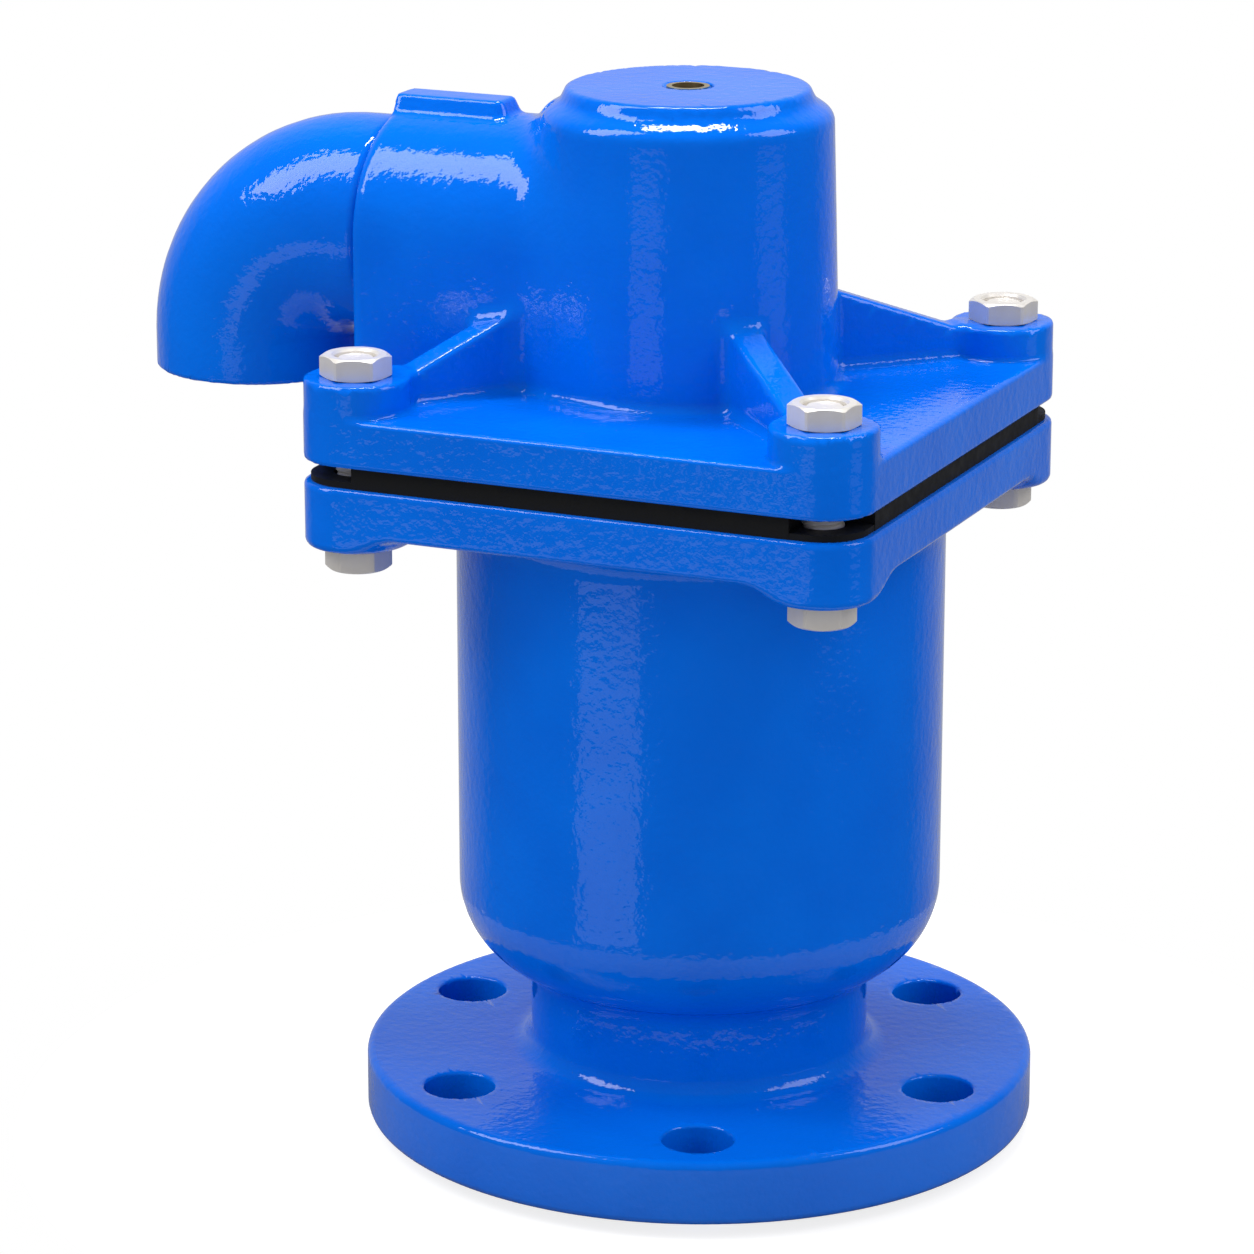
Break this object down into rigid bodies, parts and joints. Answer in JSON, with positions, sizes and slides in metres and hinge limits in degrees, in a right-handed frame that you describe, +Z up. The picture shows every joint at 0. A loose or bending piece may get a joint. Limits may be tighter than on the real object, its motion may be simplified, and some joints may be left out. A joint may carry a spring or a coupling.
{
  "type": "air release valve",
  "caption": "Flanged air release valve with a bowl-shaped body, a bolted square-flanged cover and a side outlet elbow turned down, float and closing disc inside.",
  "frame": {"origin": "centre of the base flange's raised face, on the inlet bore's axis", "axes": "+Z up along the inlet bore, -X the way the side outlet points, +Y completes the right-handed frame and is parallel to the joint plates' sides"},
  "size_m": [0.2279, 0.165, 0.2583],
  "materials": {
    "blue_casting": "glossy blue epoxy powder coat on a sand casting",
    "black_rubber": "matt black EPDM",
    "stainless": "satin stainless steel",
    "bronze": "turned bronze",
    "guide_plastic": "natural acetal"
  },
  "bodies": {
    "housing": {"valve_body": "blue_casting", "cover": "blue_casting", "cover_gasket": "black_rubber", "outlet_elbow": "blue_casting", "elbow_o_ring": "black_rubber", "insect_screen": "stainless", "screen_circlip": "stainless", "joint_bolts": "stainless", "joint_nuts": "stainless", "seat_ring": "stainless", "seat_o_ring": "black_rubber", "seat_screws": "stainless", "float_cage": "stainless", "float_guide": "guide_plastic", "guide_bush": "bronze"},
    "disc": {"closing_disc": "stainless", "disc_seal": "black_rubber", "seal_plate": "stainless", "stem_nut": "stainless", "guide_stem": "stainless", "orifice_nozzle": "stainless", "float_sleeve": "stainless"},
    "float": {"float_shell": "stainless", "float_spindle": "stainless", "orifice_pad": "black_rubber", "float_nut": "stainless"}
  },
  "joints": [
    {"name": "disc_slide", "type": "slide", "parent": "housing", "child": "disc", "axis": [0, 0, 1], "range_m": [0, 0.016]},
    {"name": "float_slide", "type": "slide", "parent": "disc", "child": "float", "axis": [0, 0, 1], "range_m": [0, 0.004]}
  ]
}
